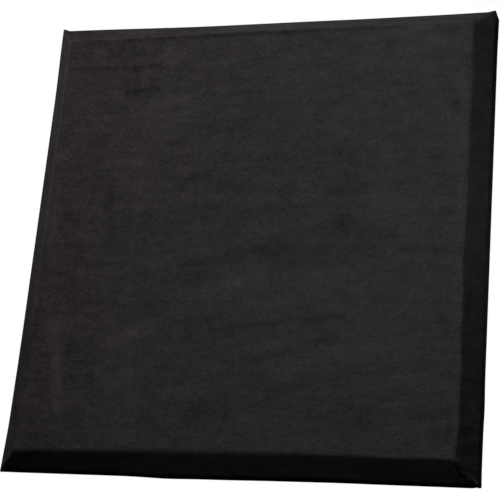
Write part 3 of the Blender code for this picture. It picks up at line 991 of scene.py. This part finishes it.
def plywood():
    """Birch plywood: plies as bands through the thickness, and long grain on the faces."""
    wood = Finish("plywood", roughness=0.62, specular=0.35)
    plies = wood.node(
        "ShaderNodeTexWave", {"bands_direction": "Y"},
        Vector=object_coordinates(wood), Scale=105.0, Distortion=0.4,
    ).outputs["Fac"]
    long_grain = object_coordinates(wood, (14.0, 60.0, 420.0))
    grain = noise_at(wood, long_grain, scale=1.0, detail=5.0, roughness=0.6, distortion=0.3)
    plies = spread(wood, plies, 0.82, 1.06, from_low=0.2, from_high=0.8)
    shade = times(wood, plies, spread(wood, grain, 0.88, 1.10))
    wood.give(Base_Color=tinted(wood, BIRCH, shade), Normal=bump(wood, grain, 0.0002, 0.5))
    return wood.material


def glass_fibre():
    """Rigid glass wool: matted fibres that lie along the board's layers."""
    wool = Finish("glass_fibre", roughness=0.95, specular=0.1)
    layers = object_coordinates(wool, (120.0, 900.0, 120.0))
    matted = noise_at(wool, layers, scale=1.0, detail=5.0, roughness=0.7, distortion=0.8)
    clumps = noise_at(wool, object_coordinates(wool), scale=40.0, roughness=0.6)
    shade = times(wool, spread(wool, matted, 0.80, 1.15), spread(wool, clumps, 0.90, 1.08))
    wool.give(Base_Color=tinted(wool, GLASS_WOOL_YELLOW, shade), Normal=bump(wool, matted, 0.0008, 0.6))
    return wool.material


# %% Finish the solids that stay
def finish_nodes(names, material):
    """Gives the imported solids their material."""
    for name in names:
        mesh = CAD[name].data
        mesh.materials.clear()
        mesh.materials.append(material)
    print(material.name, "on", len(names), "pieces")


CLIPS = [name for name in CAD if name.startswith(("panel_clip", "wall_clip"))]
BLOCKS = [name for name in CAD if name.startswith("mounting_block")]
SCREWS = sorted(name for name in CAD if name.startswith("clip_screw"))
finish_nodes(["back_scrim"], glass_tissue())
finish_nodes(CLIPS, clip_aluminium())
finish_nodes(BLOCKS, plywood())

# %% [markdown]
# ## The board under the cloth
#
# The cloth shows how the board's crest wanders, so the board has to be cut the same way, or it would come
# through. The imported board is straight. A copy of it, with its loose triangles welded, is cut into strips
# with a plane, and the crest's points are then moved in by what the cloth's crest was moved. Its pockets
# for the plywood blocks stay as they are.

# %% Board with a wandering crest
STRIP_CUTS = 93
OUTERMOST_CUT = 0.276
CREST_MARGIN = 0.0045
BEVEL_MARGIN = 0.002
WELD_DISTANCE = 1e-5
CUT_TOLERANCE = 1e-6


def inset_at(side, share_along):
    """How far in the crest lies at a share of one side's length, from -1 to 1."""
    i = SIDES.index(side)
    here = slice(i * GRID_CELLS, (i + 1) * GRID_CELLS)
    along = ring_step[here] * ALONG[i].sum()
    order = np.argsort(along)
    return float(np.interp(share_along, along[order], crest_inset[here][order]))


def cut_into_strips(bm):
    """Cuts a mesh with planes across X and across Z, so that its crest can bend."""
    for normal in (Vector((1.0, 0.0, 0.0)), Vector((0.0, 0.0, 1.0))):
        for at in np.linspace(-OUTERMOST_CUT, OUTERMOST_CUT, STRIP_CUTS):
            everything = bm.verts[:] + bm.edges[:] + bm.faces[:]
            bmesh.ops.bisect_plane(
                bm, geom=everything, dist=CUT_TOLERANCE, plane_co=normal * float(at), plane_no=normal
            )


def board_mesh():
    """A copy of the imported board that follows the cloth's crest."""
    low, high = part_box("core_board")
    bm = bmesh.new()
    bm.from_mesh(CAD["core_board"].data)
    bmesh.ops.remove_doubles(bm, verts=bm.verts, dist=WELD_DISTANCE)
    cut_into_strips(bm)
    crest_line = high.x - BEVEL_LEG
    for v in bm.verts:
        x, y, z = v.co
        past_crest = max(abs(x), abs(z)) - crest_line
        if past_crest < -CREST_MARGIN or y > low.y + BEVEL_LEG + BEVEL_MARGIN:
            continue
        share = min(1.0, max(0.0, 1.0 - past_crest / BEVEL_LEG))
        if abs(x) > crest_line - CREST_MARGIN:
            v.co.x -= math.copysign(share * inset_at("right" if x > 0 else "left", z / abs(x)), x)
        if abs(z) > crest_line - CREST_MARGIN:
            v.co.z -= math.copysign(share * inset_at("top" if z > 0 else "bottom", x / abs(z)), z)
    mesh = bpy.data.meshes.new("glass_fibre_board")
    bm.to_mesh(mesh)
    bm.free()
    mesh.materials.append(glass_fibre())
    return mesh


board = placed("glass_fibre_board", board_mesh())
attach(board, "panel")
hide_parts("core_board")
print("board triangles:", sum(len(p.vertices) - 2 for p in board.data.polygons))

# %% [markdown]
# ## The clip screws
#
# Eight pan-head screws hold the panel's clips. They are all one screw, so a Geometry Nodes tree makes it
# once, from its sizes: a domed head with a cross recess cut by two wedges, a core with a point, and a
# thread drawn as a spiral. The tree then puts it on eight points, each turned by a random angle, as screws
# end up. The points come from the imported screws, so each one sits in its own hole.

# %% Zinc plating
ZINC = (0.620, 0.620, 0.600)


def screw_zinc():
    """Zinc plating, with the faint cloudiness that passivation leaves."""
    plating = Finish("screw_zinc", roughness=0.30, metallic=1.0)
    clouds = noise_at(plating, object_coordinates(plating), scale=380.0, roughness=0.6)
    plating.give(
        Base_Color=tinted(plating, ZINC, spread(plating, clouds, 0.86, 1.08)),
        Roughness=spread(plating, clouds, 0.24, 0.40),
    )
    return plating.material


# %% A tree with named sizes
class SizedTree(Tree):
    """A Geometry Nodes tree with named sizes as its inputs."""

    def __init__(self, name, sizes):
        super().__init__(bpy.data.node_groups.new(name, "GeometryNodeTree"))
        sockets = self.group.interface
        sockets.new_socket("Geometry", in_out="INPUT", socket_type="NodeSocketGeometry")
        self.ids = {}
        for label, value in sizes.items():
            kind = "NodeSocketInt" if isinstance(value, int) else "NodeSocketFloat"
            self.ids[label] = sockets.new_socket(label, in_out="INPUT", socket_type=kind).identifier
        sockets.new_socket("Geometry", in_out="OUTPUT", socket_type="NodeSocketGeometry")
        self.start = self.node("NodeGroupInput")
        self.end = self.node("NodeGroupOutput")

    def size(self, label):
        """The output that carries a named size."""
        return self.start.outputs[label]

    def part_of(self, value, share):
        """A value times a plain number."""
        return self.math("MULTIPLY", value, share)

    def along_z(self, value):
        """A vector along Z."""
        return self.node("ShaderNodeCombineXYZ", Z=value).outputs[0]

    def joined(self, *parts):
        """Several geometries as one."""
        made = self.node("GeometryNodeJoinGeometry")
        for part in parts:
            self.group.links.new(part, made.inputs[0])
        return made.outputs[0]

    def moved(self, geometry, offset, turn=(0.0, 0.0, 0.0)):
        """A geometry moved and turned."""
        made = self.node("GeometryNodeTransform", Geometry=geometry, Translation=offset, Rotation=turn)
        return made.outputs[0]

    def bake(self, points, values):
        """Runs the tree on an object and returns the result as a plain mesh."""
        modifier = points.modifiers.new(self.group.name, "NODES")
        modifier.node_group = self.group
        for label, value in values.items():
            modifier[self.ids[label]] = value
        bpy.context.view_layer.update()
        seen = points.evaluated_get(bpy.context.evaluated_depsgraph_get())
        mesh = bpy.data.meshes.new_from_object(seen)
        points.modifiers.remove(modifier)
        return mesh


# %% The screw's sizes
SCREW_SIZES = {
    "Head radius": 0.0045,
    "Head height": 0.0022,
    "Recess width": 0.0011,
    "Recess depth": 0.0014,
    "Core radius": 0.0014,
    "Thread radius": 0.0019,
    "Length": 0.0150,
    "Point length": 0.0040,
    "Thread turns": 8.0,
    "Turn seed": 7,
}
HEAD_SIDES, HEAD_RINGS, THREAD_STEPS = 32, 6, 14
CORE_SIDES, RIDGE_SIDES = 16, 4
DOME_POWER, DOME_DROP = 2.6, 0.62
RECESS_REACH = 1.05
EDGE_ANGLE = math.radians(35)
print("screw, mm:", {name: round(1000 * size, 1) for name, size in SCREW_SIZES.items() if size < 1})


# %% The screw's tree
def domed_blank(tree):
    """A disc whose bottom is on Z = 0, its top edge dropped to make a dome."""
    radius, height = tree.size("Head radius"), tree.size("Head height")
    blank = tree.node(
        "GeometryNodeMeshCylinder", {"fill_type": "TRIANGLE_FAN"},
        Vertices=HEAD_SIDES, Side_Segments=1, Fill_Segments=HEAD_RINGS, Radius=radius, Depth=height,
    )
    at = tree.node("ShaderNodeSeparateXYZ", Vector=tree.node("GeometryNodeInputPosition").outputs[0]).outputs
    flat = tree.node("ShaderNodeCombineXYZ", X=at["X"], Y=at["Y"]).outputs[0]
    from_axis = tree.node("ShaderNodeVectorMath", {"operation": "LENGTH"}, i0=flat).outputs["Value"]
    share = tree.math("POWER", tree.math("DIVIDE", from_axis, radius), DOME_POWER)
    drop = tree.math("MULTIPLY", share, tree.part_of(height, DOME_DROP))
    upper = tree.node("FunctionNodeCompare", {"data_type": "FLOAT", "operation": "GREATER_THAN"}, i0=at["Z"])
    domed = tree.node(
        "GeometryNodeSetPosition", Geometry=blank.outputs["Mesh"],
        Selection=upper.outputs[0], Offset=tree.along_z(tree.part_of(drop, -1.0)),
    )
    return tree.moved(domed.outputs[0], tree.along_z(tree.part_of(height, 0.5)))


def head(tree):
    """The domed head with a cross recess cut into it by two wedges."""
    arm = tree.node(
        "ShaderNodeCombineXYZ", X=tree.part_of(tree.size("Head radius"), RECESS_REACH),
        Y=tree.size("Recess width"), Z=tree.part_of(tree.size("Recess depth"), 2.0),
    )
    wedge = tree.node("GeometryNodeMeshCube", Size=arm.outputs[0]).outputs["Mesh"]
    top = tree.along_z(tree.size("Head height"))
    cut = tree.node(
        "GeometryNodeMeshBoolean", {"operation": "DIFFERENCE", "solver": "EXACT"}, Mesh_1=domed_blank(tree)
    )
    for turn in (0.0, math.pi / 2):
        tree.group.links.new(tree.moved(wedge, top, (0.0, 0.0, turn)), cut.inputs["Mesh 2"])
    return cut.outputs["Mesh"]


def threaded_core(tree):
    """The core below the head, its point, and the thread as a spiral round it."""
    radius, point_length = tree.size("Core radius"), tree.size("Point length")
    straight_run = tree.math("SUBTRACT", tree.size("Length"), point_length)
    core = tree.node("GeometryNodeMeshCylinder", Vertices=CORE_SIDES, Radius=radius, Depth=straight_run)
    point = tree.node(
        "GeometryNodeMeshCone", Vertices=CORE_SIDES, Radius_Top=radius, Radius_Bottom=0.0, Depth=point_length
    )
    spiral = tree.node(
        "GeometryNodeCurveSpiral", Resolution=THREAD_STEPS, Rotations=tree.size("Thread turns"),
        Start_Radius=radius, End_Radius=radius, Height=straight_run,
    )
    ridge = tree.node(
        "GeometryNodeCurvePrimitiveCircle", {"mode": "RADIUS"},
        Resolution=RIDGE_SIDES, Radius=tree.math("SUBTRACT", tree.size("Thread radius"), radius),
    )
    thread = tree.node(
        "GeometryNodeCurveToMesh", Curve=spiral.outputs[0], Profile_Curve=ridge.outputs["Curve"],
        Fill_Caps=True,
    )
    return tree.joined(
        tree.moved(core.outputs["Mesh"], tree.along_z(tree.part_of(straight_run, -0.5))),
        tree.moved(point.outputs["Mesh"], tree.along_z(tree.part_of(tree.size("Length"), -1.0))),
        tree.moved(thread.outputs[0], tree.along_z(tree.part_of(straight_run, -1.0))),
    )


def screw_tree(material):
    """The whole tree: one screw, put on each point with its head towards +Y."""
    tree = SizedTree("clip_screws", SCREW_SIZES)
    screw = tree.joined(head(tree), threaded_core(tree))
    turn = tree.node(
        "FunctionNodeRandomValue", {"data_type": "FLOAT"}, i2=0.0, i3=math.pi / 2, Seed=tree.size("Turn seed")
    )
    facing = tree.node("ShaderNodeCombineXYZ", X=-math.pi / 2, Y=turn.outputs[1])
    on_points = tree.node(
        "GeometryNodeInstanceOnPoints", Points=tree.start.outputs["Geometry"],
        Instance=screw, Rotation=facing.outputs[0],
    )
    real = tree.node("GeometryNodeRealizeInstances", Geometry=on_points.outputs[0])
    coated = tree.node("GeometryNodeSetMaterial", Geometry=real.outputs[0], Material=material)
    tree.group.links.new(coated.outputs[0], tree.end.inputs["Geometry"])
    return tree


# %% Screws on their points
def screw_seats():
    """The middle of each packed screw, in the plane where its head sits."""
    seats = []
    for name in SCREWS:
        low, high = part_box(name)
        seats.append(((low.x + high.x) / 2, high.y - SCREW_SIZES["Head height"], (low.z + high.z) / 2))
    return seats


seats = bpy.data.meshes.new("screw_seats")
seats.from_pydata(screw_seats(), [], [])
points = placed("screw_seats", seats)
screw_mesh = screw_tree(screw_zinc()).bake(points, SCREW_SIZES)
bpy.data.objects.remove(points)
screw_mesh.shade_smooth()
screw_mesh.set_sharp_from_angle(angle=EDGE_ANGLE)
screws = placed("clip_screws", screw_mesh)
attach(screws, "panel")
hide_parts(*SCREWS)
print("screws:", len(SCREWS), "triangles:", sum(len(p.vertices) - 2 for p in screw_mesh.polygons))


# %% [markdown]
# ## The view transform
#
# The standard view transform shows colours as they were written.

bpy.context.scene.view_settings.view_transform = "Standard"
